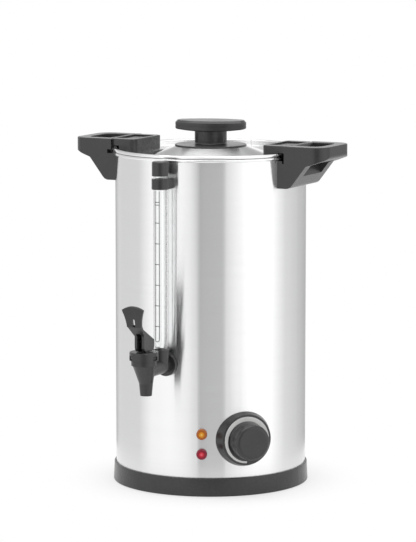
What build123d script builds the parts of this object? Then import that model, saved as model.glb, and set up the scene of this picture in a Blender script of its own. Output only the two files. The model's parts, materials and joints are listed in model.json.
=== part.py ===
from build123d import *
import os
from math import cos, pi, radians, sin, sqrt

os.makedirs("parts", exist_ok=True)

# All sizes are in millimetres. The origin is on the floor under the boiler's axis, +Z is up,
# the tap points along -Y and the two carrying handles lie along +X and -X.

# Fits
fit = 0.1                       # between pieces that are fixed together
running_fit = 0.05              # radial, round a pin, shaft or stem that turns or slides
hole_clearance = 0.5            # radial, in the wall and plate round a shaft or button
lid_clearance = 0.5             # radial, between the lid's plug and the boiler wall
lid_seat_gap = 0.2              # between the lid's rim and the boiler's rim
seam_gap = 0.6                  # radial, between a lid lug and the handle behind it

# Fasteners
screw_radius = 2.0
screw_head_radius = 3.8
screw_head_height = 2.4
screw_slot_width = 1.0
screw_slot_depth = 0.9
screw_grip = 9.0                # thread length in the piece that a screw holds

# Boiler wall and base ring
shell_radius = 115.0
sheet = 0.8
shell_top = 401.0
bead_section = 1.75             # radius of the rolled edge's round section
base_height = 22.0
base_flare = 3.3                # base ring beyond the wall at its foot
base_draft = 1.1                # base ring narrower at its top than at its foot
base_wall = 2.6
base_round = 0.7
ledge_depth = 11.0
ledge_thickness = 3.0
foot_proud = 1.0                # rubber feet below the base ring

# Bottom plate
plate_recess = 8.0
plate_sheet = 1.0
boss_radius = 5.0
boss_rise = 8.0
boss_gap = 1.0
plate_screw_count = 3
plate_screw_start = 30.0
foot_count = 4
foot_start = 45.0
foot_radius = 10.0
foot_taper = 1.0
foot_inset = 22.0
foot_stem_radius = 3.0
foot_barb_radius = 4.2
foot_barb_height = 3.0

# Tank floor and heater
tank_floor_height = 133.0
floor_skirt = 14.0
heating_plate_radius = 82.0
heating_plate_thickness = 4.0
element_radius = 62.0
element_tube_radius = 4.0
element_sweep = 300.0
element_start = 120.0
cold_pin_length = 22.0

# Heat control
dial_angle = 46.8               # from the tap towards +X
dial_height = 69.0
bezel_back_radius = 34.5
bezel_taper = 4.2
bezel_rise = 8.0
bezel_round = 0.8
mark_margin = 2.5               # bezel face beyond the crescent
mark_width = 3.9
mark_offset = 1.6               # inner edge of the crescent below the dial's centre
mark_end = 1.5                  # end of the crescent above 3 o'clock
mark_thickness = 0.25
mark_tick_drop = 0.4
mark_tick_length = 2.8
mark_tick_width = 0.9
knob_radius = 22.5
knob_taper = 1.5
knob_height = 21.5
knob_round = 5.0
knob_gap = 0.6
knob_wall = 3.0
knob_hub_radius = 6.0
shaft_radius = 3.0
shaft_flat = 1.8                # distance of the flat from the shaft's axis
shaft_hub_length = 14.0
shaft_grip = 12.0
thermostat_width = 36.0
thermostat_height = 34.0
thermostat_depth = 22.0
thermostat_screw_inset = 4.0
bulb_radius = 3.0
bulb_length = 60.0
bulb_end = 45.0
capillary_radius = 0.9
sensor_setback = 8.0
sensor_run_height = 112.0
sensor_lead = 10.0
sensor_bend = 4.0

# Indicator lamps
lamp_angle = 21.2
red_height = 51.7
lamp_spacing = 23.8
lens_radius = 6.5
lens_rim = 1.6
lens_dome = 2.2
lens_stem_radius = 5.0
lens_stem_length = 9.0
lamp_body_length = 16.0
lamp_nut_radius = 8.5
lamp_nut_thickness = 1.4
lamp_blade_spacing = 5.0
lamp_blade_thickness = 0.8
lamp_blade_width = 4.0
lamp_blade_length = 7.0

# Thermal cut-out on the bottom plate
cutout_place = (-34.0, 30.0)
cutout_width = 26.0
cutout_depth = 18.0
cutout_height = 22.0
button_radius = 3.0
button_proud = 2.0
button_depth = 12.0
button_travel = 2.0
button_round = 0.8

# Mains inlet at the back
gland_height = 40.0
gland_bore_radius = 4.0
gland_inner_radius = 4.8        # wider bore inside the wall, clear of the lead
gland_thread_radius = 7.0
gland_flange_radius = 11.0
gland_dome_radius = 9.0
gland_rise = 20.0
gland_round = 3.0
gland_flange_rise = 4.0
gland_inside = 12.0
gland_nut_radius = 10.5
gland_nut_thickness = 5.0
terminal_inset = 43.0           # terminal block inwards from the boiler wall
terminal_length = 48.0
terminal_width = 18.0
terminal_height = 16.0
terminal_ways = 4
terminal_screw_radius = 2.4
terminal_hole_depth = 6.0
wire_radius = 1.5
wire_bend = 6.0
wire_spacing = 18.0
wire_lead = 18.0

# Tap
tap_above_floor = 24.7
tap_reach = 59.0                # tap axis from the boiler wall
shank_radius = 9.0
shank_bore_radius = 5.0
shank_inside = 22.0
shank_flange_radius = 13.5
shank_flange_thickness = 4.0
gasket_thickness = 2.0
tank_gasket_radius = 13.0
shank_nut_radius = 16.0
shank_nut_thickness = 7.0
tap_head_radius = 15.0
tap_head_height = 20.5          # top of the tap's head above the shank's axis
tap_head_depth = 13.0           # height of the head's round wall
tap_cone_radius = 13.5
spout_neck_radius = 8.2         # where the cone ends and the spout's straight end starts
spout_radius = 6.9
spout_end = 14.4                # height of the straight end
spout_bore_radius = 5.2
spout_drop = 28.9               # spout foot below the shank's axis
spout_lean = 4.8                # spout foot nearer to the boiler than the tap axis
seat_drop = 5.2                 # valve seat below the shank's axis
seat_bore_radius = 5.4
valve_bore_radius = 7.5
head_bore_radius = 11.0
bonnet_wall = 1.9
bonnet_thickness = 3.0
bonnet_skirt = 7.0
bonnet_round = 1.0
bayonet_count = 3
bayonet_angle = -40.5
bayonet_width = 8.0
bayonet_height = 4.4
bayonet_foot = 1.2              # plastic below a bayonet window
bayonet_play = 1.2
cup_play = 0.6                  # radial, round the cup and the stem's flange in the valve bore
cup_height = 6.0
cup_web = 1.5
cup_seat_gap = 0.1
stem_radius = 2.9
stem_flange_thickness = 1.4
stem_round = 1.0
stem_eye = 4.2                  # stem above the lever's pin
spring_play = 1.0               # radial, round the spring in the valve bore
spring_wire_radius = 0.55
spring_turns = 5
spring_gap = 0.2

# Lever: "out" is away from the boiler from the tap axis, heights are above the bonnet
pin_height = 8.6
pin_radius = 1.6
fork_width = 12.6
fork_play = 0.2
cheek_back = 14.0
cheek_front = 11.2
cheek_gap = 0.4
cheek_round = 6.6
cheek_back_height = 12.8
roof_thickness = 3.0
neck_height = 19.2
paddle_foot_out = 21.5
paddle_foot_height = 32.6
paddle_top_out = 26.5
paddle_top_height = 56.8
paddle_thickness = 3.0
paddle_foot_width = 18.5
paddle_top_width = 28.0
paddle_crown = 4.4
paddle_waist = 1.0
paddle_heel = 0.4
paddle_slot_width = 3.2
paddle_slot_length = 10.0
paddle_slot_rise = 4.5

# Sight gauge
gauge_offset = 17.5             # tube axis from the boiler wall
tube_radius = 8.1
tube_wall = 1.8
collar_wall = 1.5
collar_height = 20.5
socket_depth = 11.0
passage_radius = 3.0
seal_height = 2.5
clip_wall = 1.9
clip_height = 12.2
clip_drop = 21.9                # top of the clip below the boiler's rim
clip_arm_width = 17.0
clip_screw_radius = 1.6
clip_screw_grip = 6.0
cap_wall = 1.55
cap_drop = 1.5                  # top of the cap below the boiler's rim
cap_height = 17.0
cap_roof = 3.5
cap_round = 2.0
vent_radius = 0.8

# Lid
lid_bead_section = 2.0
lid_recess = 7.2                # lid floor below the top of its rim
lid_flat = 44.0                 # from the boiler wall to the foot of the lid's cone
lid_cone_margin = 1.8           # flat top of the cone beyond the knob's flange
lid_cone_rise = 9.2
lid_bend = 2.5
flange_radius = 43.2
flange_thickness = 2.0
flange_round = 0.8
knob_stem_radius = 19.3
knob_stem_flare = 2.2
knob_stem_height = 16.4
knob_bar_length = 86.0
knob_bar_width = 48.0
knob_bar_end_width = 23.0
knob_bar_nose = 3.0
knob_bar_height = 12.5
knob_bar_sag = 2.2              # the bar's underside lower in its middle than at its ends
knob_bar_corner = 6.0
knob_bar_chamfer = 2.6
knob_bar_underside = 1.5
knob_groove_rise = 5.6          # parting groove above the bar's underside
knob_groove_width = 0.7
knob_groove_depth = 0.5
knob_bar_angle = 15.5           # the bar's turn from the line of the handles
knob_screw_radius = 3.0
knob_screw_head_radius = 8.0
knob_screw_head_height = 4.0
knob_screw_grip = 12.0

# Lid lugs and carrying handles
grip_rise = 13.0                # handles and lugs above the boiler's rim
lug_overhang = 2.5              # lugs beyond the rolled rims
lug_depth = 30.5                # lugs inwards from the boiler wall
lug_half_width = 36.5
lug_corner = 8.0
lug_bead_gap = 0.5
lug_recess_depth = 1.8
lug_recess_inset = 5.0
lug_recess_margin = 4.5
lug_recess_half_width = 25.0
lug_recess_corner = 2.5
lug_screw_inset = 13.5
lug_screw_spacing = 48.0
handle_reach = 53.0
handle_half_width = 40.5
handle_corner = 18.0
handle_end_height = 14.5
handle_end_round = 5.0
handle_knee_in = 24.0           # knee inwards from the handle's outer end
handle_knee_drop = 23.0
handle_knee_round = 3.0
handle_foot_out = 8.2
handle_foot_drop = 50.0
handle_foot_round = 9.5
handle_ledge_gap = 1.0          # between the handle's ledge and the boiler's rolled rim
handle_slot_height = 4.6
handle_slot_depth = 5.4
rim_slot_width = 1.2            # wider seam where the two rims enter one end of a handle
rim_slot_depth = 6.0
rim_slot_height = 12.0
rim_slot_drop = 3.0             # foot of that seam below the handle's ledge
finger_start = 8.5              # finger opening from the boiler wall, at its top
finger_lean = 15.3              # its inner side further out at the handle's foot
handle_bar = 13.5               # grip beyond the finger opening
finger_half_width = 26.0
finger_corner = 10.0
handle_screw_angle = 14.5
handle_screw_rise = 11.0
edge_round = 1.0                # softened edges of handles and lugs

# Values worked out from the sizes above
shell_inner = shell_radius - sheet
base_foot_radius = shell_radius + base_flare
base_top_radius = base_foot_radius - base_draft
base_top = foot_proud + base_height
plate_room = base_foot_radius - base_wall
plate_top = foot_proud + plate_recess
plate_bottom = plate_top - plate_sheet
ledge_top = plate_top + ledge_thickness
ledge_radius = shell_radius - ledge_depth
boss_circle = shell_inner - boss_radius - boss_gap
foot_circle = shell_radius - foot_inset
bead_circle = shell_radius + bead_section
bead_outer = bead_circle + bead_section
bead_height = shell_top - bead_section

floor_bottom = tank_floor_height - sheet
heating_plate_bottom = floor_bottom - heating_plate_thickness
element_height = heating_plate_bottom - element_tube_radius

bezel_front = shell_radius + bezel_rise
bezel_front_radius = bezel_back_radius - bezel_taper
mark_outer_radius = bezel_front_radius - mark_margin
mark_inner_radius = mark_outer_radius - mark_width
bezel_back = sqrt(shell_radius**2 - bezel_back_radius**2)
bezel_screw_seat = bezel_front - screw_head_height - fit
knob_foot = bezel_front + knob_gap
knob_face_radius = knob_radius - knob_taper
knob_hollow = knob_foot + knob_height - knob_round
thermostat_front = sqrt(shell_inner**2 - (thermostat_width / 2) ** 2) - fit
thermostat_back = thermostat_front - thermostat_depth
thermostat_screw_side = thermostat_width / 2 - thermostat_screw_inset
shaft_floor = thermostat_front - shaft_hub_length
bulb_height = heating_plate_bottom - bulb_radius - fit
amber_height = red_height + lamp_spacing
lens_face = shell_radius + lens_rim
lamp_back = shell_radius - lens_stem_length - lamp_body_length
lamp_nut_face = sqrt(shell_inner**2 - lamp_nut_radius**2) - fit
gland_shoulder = shell_radius + gland_flange_rise
gland_nut_face = sqrt(shell_inner**2 - gland_nut_radius**2) - fit
terminal_place = (0.0, shell_radius - terminal_inset)
terminal_top = plate_top + terminal_height
terminal_pitch = terminal_length / terminal_ways
button_top = plate_top + button_depth

tap_height = tank_floor_height + tap_above_floor
tap_axis = shell_radius + tap_reach
gauge_axis = shell_radius + gauge_offset
head_top = tap_height + tap_head_height
spout_foot = tap_height - spout_drop
spout_neck = spout_foot + spout_end
bonnet_top = head_top + bonnet_thickness
bonnet_radius = tap_head_radius + fit + bonnet_wall
bonnet_foot = head_top - bonnet_skirt
seat_height = tap_height - seat_drop
cup_radius = valve_bore_radius - cup_play
cup_foot = seat_height + cup_seat_gap
cup_top = cup_foot + cup_height
spring_radius = valve_bore_radius - spring_play - spring_wire_radius
spring_foot = cup_top + stem_flange_thickness
spring_start = spring_foot + spring_gap + spring_wire_radius
spring_pitch = (head_top - spring_gap - spring_wire_radius - spring_start) / spring_turns
tank_gasket_face = sqrt(shell_inner**2 - tank_gasket_radius**2) - gasket_thickness
gasket_back = sqrt(shell_radius**2 - shank_flange_radius**2)
gasket_face = shell_radius + gasket_thickness
flange_face = gasket_face + shank_flange_thickness
window_level = bonnet_foot + bayonet_foot + bayonet_height / 2
inner_screw_face = sqrt(shell_inner**2 - screw_head_radius**2) - running_fit
pin_level = bonnet_top + pin_height
fork_gap = 2 * (stem_radius + fork_play)
paddle_lean = paddle_top_out - paddle_foot_out
paddle_rise = paddle_top_height - paddle_foot_height
paddle_length = sqrt(paddle_lean**2 + paddle_rise**2)
paddle_shoulder = paddle_length - paddle_crown
paddle_middle_width = (paddle_foot_width + paddle_top_width) / 2
roof_slope = (paddle_foot_height - cheek_back_height) / (paddle_foot_out + cheek_back)
neck_slot_end = cheek_front + roof_thickness
neck_out = paddle_foot_out + paddle_thickness - cheek_front
neck_rise = paddle_foot_height - neck_height
neck_length = sqrt(neck_out**2 + neck_rise**2)

collar_top = tap_height + collar_height
socket_floor = collar_top - socket_depth
tube_foot = socket_floor + seal_height
cap_top = shell_top - cap_drop
cap_foot = cap_top - cap_height
tube_top = cap_top - cap_roof
clip_top = shell_top - clip_drop
clip_level = clip_top - clip_height / 2

lid_foot = shell_top + lid_seat_gap
lid_top = lid_foot + 2 * lid_bead_section
lid_floor = lid_top - lid_recess
lid_crown = lid_floor + lid_cone_rise
lid_plug = shell_inner - lid_clearance
lid_pan = lid_plug - sheet
lid_cone_foot = shell_radius - lid_flat
lid_cone_top = flange_radius + lid_cone_margin
lid_bead_circle = bead_outer - lid_bead_section
lid_web = lid_top - sheet / 2
flange_top = lid_crown + flange_thickness
knob_screw_seat = lid_crown - sheet - running_fit
knob_screw_end = flange_top + knob_screw_grip
knob_stem_foot = knob_stem_radius + knob_stem_flare
knob_stem_waist = flange_top + knob_stem_flare
knob_bar_foot = flange_top + knob_stem_height
knob_bar_middle = knob_bar_foot + knob_bar_height / 2
knob_bar_rise = knob_bar_foot + 4 * knob_bar_sag   # the underside's arc, twice as long as the bar
knob_bar_half = knob_bar_length / 2 - knob_bar_nose
knob_groove_level = knob_bar_foot + knob_groove_rise
grip_top = shell_top + grip_rise
lug_radius = bead_outer + lug_overhang
lug_start = shell_radius - lug_depth
lug_plug = lid_pan - sheet - fit
lug_recess_start = lug_start + lug_recess_inset
lug_recess_end = lug_radius - lug_recess_margin
lug_recess_middle = (lug_recess_start + lug_recess_end) / 2
lug_screw_out = lug_start + lug_screw_inset
handle_end = shell_radius + handle_reach
handle_knee = handle_end - handle_knee_in
handle_back = lug_radius + seam_gap
handle_ledge = shell_top - 2 * bead_section - handle_ledge_gap
handle_foot = grip_top - handle_foot_drop
handle_screw_height = handle_foot + handle_screw_rise
finger_end = handle_end - handle_bar
finger_top = shell_radius + finger_start
handle_nose = sqrt(handle_back**2 - handle_half_width**2)

BASE = (Align.CENTER, Align.CENTER, Align.MIN)


def wall_plane(angle, height):
    """A plane on the boiler's axis that faces outwards, at an angle from the tap towards +X."""
    turn = radians(angle)
    return Plane((0, 0, height), x_dir=(cos(turn), sin(turn), 0), z_dir=(sin(turn), -cos(turn), 0))


def shifted(plane, across=0.0, up=0.0, out=0.0):
    """The same plane with its origin moved in its own directions."""
    return Plane(plane.from_local_coords((across, up, out)), x_dir=plane.x_dir, z_dir=plane.z_dir)


def rod(plane, radius, start, end, mode=Mode.ADD):
    """A round bar square to a plane, from one distance to another."""
    with Locations(plane.offset(start)):
        Cylinder(radius, end - start, align=BASE, mode=mode)


def pan_screw(plane, length, radius=screw_radius):
    """A slotted screw whose head stands on the plane and whose shank runs back from it."""
    rod(plane, radius, -length, 0)
    rod(plane, screw_head_radius, 0, screw_head_height)
    with Locations(plane.offset(screw_head_height)):
        Box(2 * screw_head_radius, screw_slot_width, 2 * screw_slot_depth, mode=Mode.SUBTRACT)


def inward_seat(plane):
    """A plane that faces inwards, where a screw's head meets the inside of the round wall."""
    seat = plane.from_local_coords((0, 0, inner_screw_face))
    return Plane(seat, x_dir=plane.x_dir, z_dir=-plane.z_dir)


def roof_line(out):
    """Height of the underside of the lever's roof at a distance from the tap axis."""
    drop = roof_thickness * sqrt(1 + roof_slope**2)
    return cheek_back_height + roof_slope * (out + cheek_back) - drop


def on_dial(across, out):
    """A point behind the dial, at a distance across it and a distance from the boiler's axis."""
    return tuple(dial.from_local_coords((across, 0, out)))


# Places that several pieces share
tap = wall_plane(0, tap_height)
tap_column = Plane((0, -tap_axis, 0))
spout_column = Plane((0, spout_lean - tap_axis, 0))
gauge_column = Plane((0, -gauge_axis, 0))
pin_line = Plane((0, -tap_axis, pin_level), x_dir=(0, 1, 0), z_dir=(1, 0, 0))
lever_side = Plane((0, -tap_axis, bonnet_top), x_dir=(0, -1, 0), z_dir=(-1, 0, 0))
paddle_plane = Plane(
    lever_side.from_local_coords((paddle_foot_out, paddle_foot_height, 0)),
    x_dir=(1, 0, 0),
    z_dir=(0, -paddle_rise, -paddle_lean),
)
neck_plane = Plane(
    lever_side.from_local_coords((cheek_front, neck_height, 0)),
    x_dir=(1, 0, 0),
    z_dir=(0, -neck_rise, -neck_out),
)
dial = wall_plane(dial_angle, dial_height)
dial_axis = Axis(dial.origin, dial.z_dir)
thermostat_screw_planes = [shifted(dial, across=side * thermostat_screw_side) for side in (-1, 1)]
sensor_plane = Plane((0, 0, 0), x_dir=dial.z_dir, z_dir=-dial.x_dir)
amber = wall_plane(lamp_angle, amber_height)
red = wall_plane(lamp_angle, red_height)
lamp_axis = Axis((0, 0, 0), amber.z_dir)
cutout = Plane((*cutout_place, 0))
gland = wall_plane(180, gland_height)
clip = wall_plane(0, clip_level)
knob_bar_plane = Plane.XY.rotated((0, 0, knob_bar_angle))
knob_bar_side = Plane.XZ.rotated((0, 0, knob_bar_angle))
bayonet_planes = [
    wall_plane(bayonet_angle + 360 * i / bayonet_count, 0) for i in range(bayonet_count)
]
handle_screw_planes = [
    wall_plane(side + turn, handle_screw_height)
    for side in (90, -90)
    for turn in (handle_screw_angle, -handle_screw_angle)
]
lug_screw_places = [
    (side * lug_screw_out, end * lug_screw_spacing / 2) for side in (1, -1) for end in (1, -1)
]

# Routes of the leads in the base, from one terminal to the next
pin_angles = (radians(element_start), radians(element_start + element_sweep))
left_pin, right_pin = [(element_radius * cos(turn), element_radius * sin(turn)) for turn in pin_angles]
pin_foot = element_height - running_fit - cold_pin_length
terminal_left = (terminal_place[0] - (terminal_ways - 1) * terminal_pitch / 2, terminal_place[1])
terminal_right = (terminal_place[0] + (terminal_ways - 1) * terminal_pitch / 2, terminal_place[1])
terminal_floor = terminal_top - terminal_hole_depth
cutout_top = plate_top + cutout_height
cutout_in = (cutout_place[0] - cutout_width / 4, cutout_place[1])
cutout_out = (cutout_place[0] + cutout_width / 4, cutout_place[1])
wire_routes = [
    [
        (*terminal_right, terminal_floor),
        (*terminal_right, dial_height),
        on_dial(-wire_spacing / 2, thermostat_back - wire_lead),
        on_dial(-wire_spacing / 2, thermostat_back),
    ],
    [
        on_dial(wire_spacing / 2, thermostat_back),
        on_dial(wire_spacing / 2, thermostat_back - 2 * wire_lead),
        (*right_pin, dial_height),
        (*right_pin, pin_foot),
    ],
    [
        (*terminal_left, terminal_floor),
        (*terminal_left, cutout_top + wire_lead),
        (*cutout_in, cutout_top + wire_lead),
        (*cutout_in, cutout_top),
    ],
    [
        (*cutout_out, cutout_top),
        (*cutout_out, dial_height),
        (*left_pin, dial_height),
        (*left_pin, pin_foot),
    ],
]

# Base ring, with a ledge that carries the boiler wall and bosses for the bottom plate's screws
with BuildPart() as base_ring:
    with BuildSketch(Plane.XZ):
        with BuildLine():
            Polyline(
                (base_foot_radius, foot_proud),
                (base_top_radius, base_top),
                (shell_radius + fit, base_top),
                (shell_radius + fit, ledge_top),
                (ledge_radius, ledge_top),
                (ledge_radius, plate_top),
                (plate_room, plate_top),
                (plate_room, foot_proud),
                close=True,
            )
        make_face()
    revolve(axis=Axis.Z)
    fillet(base_ring.edges().filter_by(GeomType.CIRCLE).sort_by(SortBy.RADIUS)[-2:], base_round)
    with BuildSketch(Plane.XY.offset(plate_top)):
        with PolarLocations(boss_circle, plate_screw_count, start_angle=plate_screw_start):
            Circle(boss_radius)
    extrude(amount=ledge_thickness + boss_rise)
    with BuildSketch(Plane.XY.offset(plate_top)):
        with PolarLocations(boss_circle, plate_screw_count, start_angle=plate_screw_start):
            Circle(screw_radius + running_fit)
    extrude(amount=screw_grip + fit, mode=Mode.SUBTRACT)
base_ring.part.label = "base_ring"
export_step(base_ring.part, "parts/base_ring.step")

# Steel plate that closes the base from below
with BuildPart() as bottom_plate:
    with BuildSketch(Plane.XY.offset(plate_bottom)):
        Circle(plate_room - fit)
        with PolarLocations(boss_circle, plate_screw_count, start_angle=plate_screw_start):
            Circle(screw_radius + fit, mode=Mode.SUBTRACT)
        with PolarLocations(foot_circle, foot_count, start_angle=foot_start):
            Circle(foot_stem_radius + fit, mode=Mode.SUBTRACT)
        with Locations(cutout_place):
            Circle(button_radius + hole_clearance, mode=Mode.SUBTRACT)
    extrude(amount=plate_sheet)
bottom_plate.part.label = "bottom_plate"
export_step(bottom_plate.part, "parts/bottom_plate.step")

with BuildPart() as bottom_plate_screws:
    for i in range(plate_screw_count):
        turn = radians(plate_screw_start + 360 * i / plate_screw_count)
        seat = (boss_circle * cos(turn), boss_circle * sin(turn), plate_bottom)
        pan_screw(Plane(seat, x_dir=(1, 0, 0), z_dir=(0, 0, -1)), plate_sheet + screw_grip)
bottom_plate_screws.part.label = "bottom_plate_screws"
export_step(bottom_plate_screws.part, "parts/bottom_plate_screws.step")

# Rubber feet, each pushed through the bottom plate and held by its barb
with BuildPart() as rubber_feet:
    with PolarLocations(foot_circle, foot_count, start_angle=foot_start):
        Cone(foot_radius - foot_taper, foot_radius, plate_bottom, align=BASE)
    with Locations(Plane.XY.offset(plate_bottom)):
        with PolarLocations(foot_circle, foot_count, start_angle=foot_start):
            Cylinder(foot_stem_radius, plate_sheet, align=BASE)
    with Locations(Plane.XY.offset(plate_top)):
        with PolarLocations(foot_circle, foot_count, start_angle=foot_start):
            Cone(foot_barb_radius, foot_stem_radius, foot_barb_height, align=BASE)
rubber_feet.part.label = "rubber_feet"
export_step(rubber_feet.part, "parts/rubber_feet.step")

# Boiler wall, one rolled sheet with a beaded rim
with BuildPart() as boiler_shell:
    with BuildSketch(Plane.XZ):
        with Locations((shell_inner, ledge_top)):
            Rectangle(sheet, bead_height - ledge_top, align=Align.MIN)
        with Locations((shell_inner, bead_height)):
            Rectangle(bead_circle - shell_inner, sheet, align=(Align.MIN, Align.CENTER))
        with Locations((bead_circle, bead_height)):
            Circle(bead_section)
    revolve(axis=Axis.Z)
    rod(tap, shank_radius + fit, 0, shell_radius + bead_section, Mode.SUBTRACT)
    rod(dial, shaft_radius + hole_clearance, 0, shell_radius + bead_section, Mode.SUBTRACT)
    for place in thermostat_screw_planes:
        rod(place, screw_radius + fit, 0, shell_radius + bead_section, Mode.SUBTRACT)
    for lamp in (amber, red):
        rod(lamp, lens_stem_radius + fit, 0, shell_radius + bead_section, Mode.SUBTRACT)
    rod(gland, gland_thread_radius + fit, 0, shell_radius + bead_section, Mode.SUBTRACT)
    rod(clip, clip_screw_radius + fit, 0, shell_radius + bead_section, Mode.SUBTRACT)
    for place in handle_screw_planes:
        rod(place, screw_radius + fit, 0, shell_radius + bead_section, Mode.SUBTRACT)
boiler_shell.part.label = "boiler_shell"
export_step(boiler_shell.part, "parts/boiler_shell.step")

# Tank floor, a pressed pan welded into the wall by its skirt
with BuildPart() as tank_floor:
    with Locations(Plane.XY.offset(tank_floor_height - floor_skirt)):
        Cylinder(shell_inner - running_fit, floor_skirt, align=BASE)
        Cylinder(shell_inner - running_fit - sheet, floor_skirt - sheet, align=BASE, mode=Mode.SUBTRACT)
tank_floor.part.label = "tank_floor"
export_step(tank_floor.part, "parts/tank_floor.step")

# Aluminium plate under the tank floor that spreads the heat
with BuildPart() as heating_plate:
    with Locations(Plane.XY.offset(heating_plate_bottom)):
        Cylinder(heating_plate_radius, heating_plate_thickness, align=BASE)
heating_plate.part.label = "heating_plate"
export_step(heating_plate.part, "parts/heating_plate.step")

# Sheathed heating element, an open ring with two cold pins
with BuildPart() as heating_element:
    with BuildSketch(Plane.XZ.rotated((0, 0, element_start))):
        with Locations((element_radius, element_height - running_fit)):
            Circle(element_tube_radius)
    revolve(axis=Axis.Z, revolution_arc=element_sweep)
    for turn in (element_start, element_start + element_sweep):
        end = Plane((element_radius * cos(radians(turn)), element_radius * sin(radians(turn)), 0))
        with Locations(end.offset(element_height - running_fit)):
            Sphere(element_tube_radius)
            Cylinder(element_tube_radius, cold_pin_length, align=(Align.CENTER, Align.CENTER, Align.MAX))
heating_element.part.label = "heating_element"
export_step(heating_element.part, "parts/heating_element.step")

# Thermostat behind the wall
with BuildPart() as thermostat_body:
    with Locations(dial.offset(thermostat_back)):
        Box(thermostat_width, thermostat_height, thermostat_depth, align=BASE)
    rod(dial, shaft_radius + running_fit, shaft_floor - fit, shell_radius, Mode.SUBTRACT)
    hole_floor = thermostat_front - screw_grip - fit
    for place in thermostat_screw_planes:
        rod(place, screw_radius + running_fit, hole_floor, shell_radius, Mode.SUBTRACT)
thermostat_body.part.label = "thermostat_body"
export_step(thermostat_body.part, "parts/thermostat_body.step")

# Capillary sensor: a thin tube from the thermostat and a bulb under the heating plate
with BuildPart() as sensor_bulb:
    with BuildLine(sensor_plane) as capillary:
        FilletPolyline(
            (thermostat_back + sensor_setback, dial_height + thermostat_height / 2),
            (thermostat_back + sensor_setback, sensor_run_height),
            (bulb_end + sensor_lead, sensor_run_height),
            (bulb_end + sensor_lead, bulb_height),
            (bulb_end, bulb_height),
            radius=sensor_bend,
        )
    with BuildSketch(Plane(capillary.line @ 0, z_dir=capillary.line % 0)):
        Circle(capillary_radius)
    sweep(path=capillary.line)
    rod(wall_plane(dial_angle, bulb_height), bulb_radius, bulb_end - bulb_length, bulb_end)
sensor_bulb.part.label = "sensor_bulb"
export_step(sensor_bulb.part, "parts/sensor_bulb.step")

# Dial bezel, a low cone cut to sit on the round wall
with BuildPart() as dial_bezel:
    with Locations(dial.offset(bezel_back)):
        Cone(bezel_back_radius, bezel_front_radius, bezel_front - bezel_back, align=BASE)
    fillet(dial_bezel.faces().sort_by(dial_axis)[-1].edges(), bezel_round)
    with Locations((0, 0, dial_height)):
        Cylinder(shell_radius + running_fit, 4 * bezel_back_radius, mode=Mode.SUBTRACT)
    rod(dial, shaft_radius + hole_clearance, 0, bezel_front, Mode.SUBTRACT)
    for place in thermostat_screw_planes:
        rod(place, screw_radius + fit, 0, bezel_front, Mode.SUBTRACT)
        rod(place, screw_head_radius + fit, bezel_screw_seat, bezel_front, Mode.SUBTRACT)
dial_bezel.part.label = "dial_bezel"
export_step(dial_bezel.part, "parts/dial_bezel.step")

# Pale crescent on the bezel that widens as the heat rises, and the tick where it ends
with BuildPart() as dial_mark:
    with BuildSketch(dial.offset(bezel_front)):
        Circle(mark_outer_radius)
        with Locations((0, -mark_offset)):
            Circle(mark_inner_radius, mode=Mode.SUBTRACT)
        with Locations((0, mark_end)):
            Rectangle(
                2 * mark_outer_radius,
                2 * mark_outer_radius,
                align=(Align.MIN, Align.MAX),
                mode=Mode.SUBTRACT,
            )
        with Locations((mark_outer_radius, -mark_tick_drop)):
            Rectangle(mark_tick_length, mark_tick_width, align=(Align.MAX, Align.CENTER))
    extrude(amount=mark_thickness)
dial_mark.part.label = "dial_mark"
export_step(dial_mark.part, "parts/dial_mark.step")

with BuildPart() as thermostat_screws:
    for place in thermostat_screw_planes:
        pan_screw(place.offset(bezel_screw_seat), bezel_screw_seat - thermostat_front + screw_grip)
thermostat_screws.part.label = "thermostat_screws"
export_step(thermostat_screws.part, "parts/thermostat_screws.step")

# Thermostat shaft, flattened where the knob grips it
with BuildPart() as thermostat_shaft:
    rod(dial, shaft_radius, shaft_floor, knob_foot + shaft_grip)
    with BuildSketch(dial.offset(knob_foot)):
        with Locations((0, shaft_flat)):
            Rectangle(2 * shaft_radius, shaft_radius, align=(Align.CENTER, Align.MIN))
    extrude(amount=shaft_grip, mode=Mode.SUBTRACT)
thermostat_shaft.part.label = "thermostat_shaft"
export_step(thermostat_shaft.part, "parts/thermostat_shaft.step")

# Heat control knob, hollow behind, with a hub that fits the flattened shaft
with BuildPart() as control_knob:
    with Locations(dial.offset(knob_foot)):
        Cone(knob_radius, knob_face_radius, knob_height, align=BASE)
    fillet(control_knob.faces().sort_by(dial_axis)[-1].edges(), knob_round)
    rod(dial, knob_face_radius - knob_wall, knob_foot, knob_hollow, Mode.SUBTRACT)
    rod(dial, knob_hub_radius, knob_foot, knob_hollow)
    with BuildSketch(dial.offset(knob_foot)):
        Circle(shaft_radius + running_fit)
        with Locations((0, shaft_flat + running_fit)):
            Rectangle(
                2 * knob_hub_radius,
                knob_hub_radius,
                align=(Align.CENTER, Align.MIN),
                mode=Mode.SUBTRACT,
            )
    extrude(amount=shaft_grip + fit, mode=Mode.SUBTRACT)
control_knob.part.label = "control_knob"
export_step(control_knob.part, "parts/control_knob.step")


def lens(builder, lamp):
    """A lamp lens: a round head with a domed front, and a stem through the wall."""
    rod(lamp, lens_radius, shell_radius + running_fit, lens_face + lens_dome)
    fillet(builder.faces().sort_by(lamp_axis)[-1].edges(), lens_dome)
    rod(lamp, lens_stem_radius, shell_radius - lens_stem_length, lens_face)


# Amber lens of the lamp that shows heating
with BuildPart() as amber_lens:
    lens(amber_lens, amber)
amber_lens.part.label = "amber_lens"
export_step(amber_lens.part, "parts/amber_lens.step")

# Red lens of the lamp that shows power
with BuildPart() as red_lens:
    lens(red_lens, red)
red_lens.part.label = "red_lens"
export_step(red_lens.part, "parts/red_lens.step")

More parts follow.
